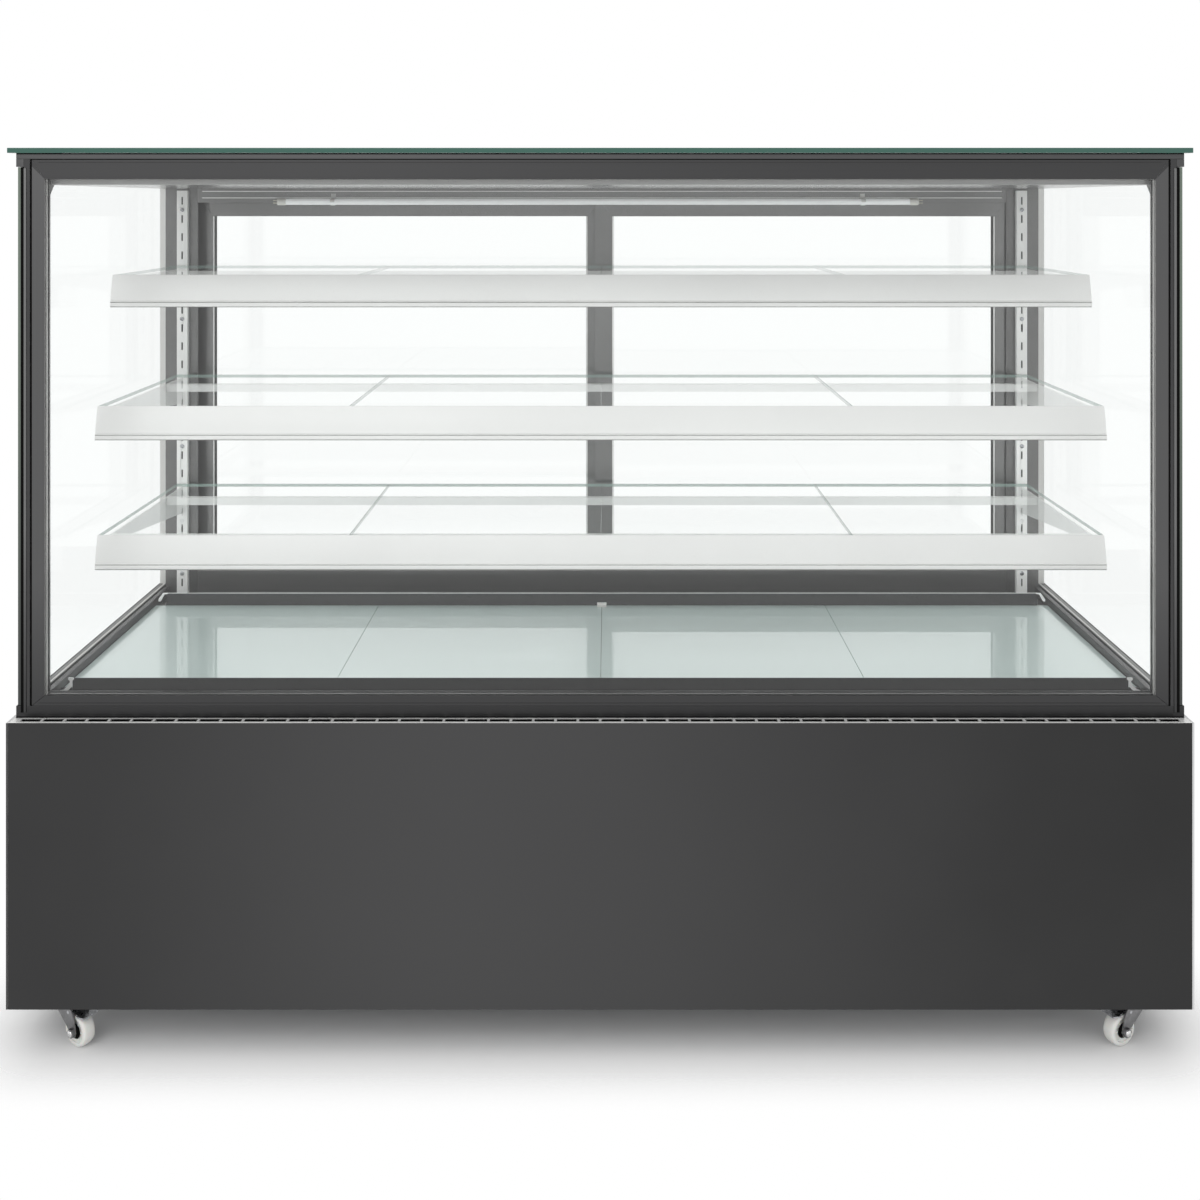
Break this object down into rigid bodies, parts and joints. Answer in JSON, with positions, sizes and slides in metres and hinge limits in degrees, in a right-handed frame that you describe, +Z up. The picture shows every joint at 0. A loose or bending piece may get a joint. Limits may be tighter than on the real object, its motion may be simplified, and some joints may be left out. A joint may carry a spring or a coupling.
{
  "type": "refrigerated deli case",
  "caption": "Straight-glass refrigerated display case with glass shelves, a cold deck, rear sliding doors and a closed base on casters.",
  "frame": {"origin": "on the floor under the middle of the case, wheels touching the floor", "axes": "+X across the case to the right as a customer sees it, +Y to the rear service side, +Z up"},
  "size_m": [1.81, 0.73, 1.38],
  "materials": {
    "painted_panel": "satin",
    "side_sheet": "satin",
    "dark_aluminium": "satin",
    "light_aluminium": "satin",
    "galvanised": "satin",
    "stainless": "satin",
    "white_coat": "satin",
    "clear_glass": "polished",
    "deck_glass": "polished",
    "sealant": "matte",
    "black_plastic": "satin",
    "white_plastic": "gloss",
    "nylon": "satin",
    "zinc": "satin",
    "copper": "satin",
    "black_shell": "satin",
    "white_profile": "satin",
    "foam": "matte",
    "fins": "satin",
    "green_rocker": "gloss"
  },
  "bodies": {
    "case": {"base_frame": "galvanised", "base_pan": "galvanised", "front_panel": "painted_panel", "side_panels": "side_sheet", "ledge_grille": "dark_aluminium", "rear_cover": "side_sheet", "rear_grille": "side_sheet", "tub_liner": "stainless", "tub_foam": "foam", "evaporator_coil": "fins", "evaporator_fan_housings": "galvanised", "condenser_coil": "fins", "condenser_fan_mount": "galvanised", "compressor": "black_shell", "refrigerant_pipes": "copper", "condensate_pan": "galvanised", "electrical_box": "galvanised", "control_panel": "black_plastic", "cable_gland": "black_plastic", "fasteners": "zinc", "plinth_rails": "dark_aluminium", "corner_posts": "dark_aluminium", "rear_sill": "dark_aluminium", "top_rails": "dark_aluminium", "rear_header": "dark_aluminium", "ceiling_panel": "painted_panel", "top_glass": "clear_glass", "front_sash": "dark_aluminium", "front_glass": "clear_glass", "glass_spacers": "light_aluminium", "side_glass": "clear_glass", "glass_seals": "sealant", "led_tube": "white_plastic", "led_clips": "white_plastic", "shelf_standards": "white_coat", "shelf_frames": "white_coat", "shelf_glass": "clear_glass", "ticket_strips": "white_profile", "deck_glass": "deck_glass", "deck_tray": "dark_aluminium", "caster_plates": "zinc"},
    "left_door": {"door_left_frame": "dark_aluminium", "door_left_glass": "clear_glass"},
    "right_door": {"door_right_frame": "dark_aluminium", "door_right_glass": "clear_glass"},
    "evaporator_fan_left": {"evaporator_fan_left": "white_plastic"},
    "evaporator_fan_right": {"evaporator_fan_right": "white_plastic"},
    "condenser_fan": {"condenser_fan": "fins"},
    "power_switch": {"power_switch": "green_rocker"},
    "light_switch": {"light_switch": "black_plastic"},
    "brake_pedal_left": {"brake_pedal_left": "zinc"},
    "brake_pedal_right": {"brake_pedal_right": "zinc"},
    "fork_front_left": {"caster_fork_front_left": "zinc"},
    "wheel_front_left": {"caster_wheel_front_left": "nylon"},
    "fork_front_right": {"caster_fork_front_right": "zinc"},
    "wheel_front_right": {"caster_wheel_front_right": "nylon"},
    "fork_rear_left": {"caster_fork_rear_left": "zinc"},
    "wheel_rear_left": {"caster_wheel_rear_left": "nylon"},
    "fork_rear_right": {"caster_fork_rear_right": "zinc"},
    "wheel_rear_right": {"caster_wheel_rear_right": "nylon"}
  },
  "joints": [
    {"name": "left_door_slide", "type": "slide", "parent": "case", "child": "left_door", "axis": [1, 0, 0], "range_m": [0, 0.805]},
    {"name": "right_door_slide", "type": "slide", "parent": "case", "child": "right_door", "axis": [1, 0, 0], "range_m": [-0.805, 0]},
    {"name": "condenser_fan_spin", "type": "hinge", "parent": "case", "child": "condenser_fan", "pos_m": [-0.59, -0.15, 0.22], "axis": [0, 1, 0], "continuous": true},
    {"name": "evaporator_fan_left_spin", "type": "hinge", "parent": "case", "child": "evaporator_fan_left", "pos_m": [-0.3, -0.179, 0.45], "axis": [0, 1, 0], "continuous": true},
    {"name": "evaporator_fan_right_spin", "type": "hinge", "parent": "case", "child": "evaporator_fan_right", "pos_m": [0.3, -0.179, 0.45], "axis": [0, 1, 0], "continuous": true},
    {"name": "power_switch_tip", "type": "hinge", "parent": "case", "child": "power_switch", "pos_m": [-0.5, 0.342, 0.438], "axis": [1, 0, 0], "range_deg": [-16, 0]},
    {"name": "light_switch_tip", "type": "hinge", "parent": "case", "child": "light_switch", "pos_m": [-0.46, 0.342, 0.438], "axis": [1, 0, 0], "range_deg": [-16, 0]},
    {"name": "swivel_front_left", "type": "hinge", "parent": "case", "child": "fork_front_left", "pos_m": [-0.821, -0.316, 0.06], "axis": [0, 0, 1], "continuous": true},
    {"name": "wheel_spin_front_left", "type": "hinge", "parent": "fork_front_left", "child": "wheel_front_left", "pos_m": [-0.80087, -0.32907, 0.025], "axis": [0.5446, 0.8387, 0], "continuous": true},
    {"name": "swivel_front_right", "type": "hinge", "parent": "case", "child": "fork_front_right", "pos_m": [0.821, -0.316, 0.06], "axis": [0, 0, 1], "continuous": true},
    {"name": "wheel_spin_front_right", "type": "hinge", "parent": "fork_front_right", "child": "wheel_front_right", "pos_m": [0.79962, -0.3269, 0.025], "axis": [0.454, -0.891, 0], "continuous": true},
    {"name": "swivel_rear_left", "type": "hinge", "parent": "case", "child": "fork_rear_left", "pos_m": [-0.821, 0.3, 0.06], "axis": [0, 0, 1], "continuous": true},
    {"name": "wheel_spin_rear_left", "type": "hinge", "parent": "fork_rear_left", "child": "wheel_rear_left", "pos_m": [-0.81479, 0.32318, 0.025], "axis": [-0.9659, 0.2588, 0], "continuous": true},
    {"name": "swivel_rear_right", "type": "hinge", "parent": "case", "child": "fork_rear_right", "pos_m": [0.821, 0.3, 0.06], "axis": [0, 0, 1], "continuous": true},
    {"name": "wheel_spin_rear_right", "type": "hinge", "parent": "fork_rear_right", "child": "wheel_rear_right", "pos_m": [0.81479, 0.32318, 0.025], "axis": [-0.9659, -0.2588, 0], "continuous": true},
    {"name": "brake_pedal_left_tip", "type": "hinge", "parent": "fork_front_left", "child": "brake_pedal_left", "pos_m": [-0.80926, -0.32362, 0.053], "axis": [0.5446, 0.8387, 0], "range_deg": [-8, 0]},
    {"name": "brake_pedal_right_tip", "type": "hinge", "parent": "fork_front_right", "child": "brake_pedal_right", "pos_m": [0.80853, -0.32236, 0.053], "axis": [0.454, -0.891, 0], "range_deg": [-8, 0]}
  ]
}
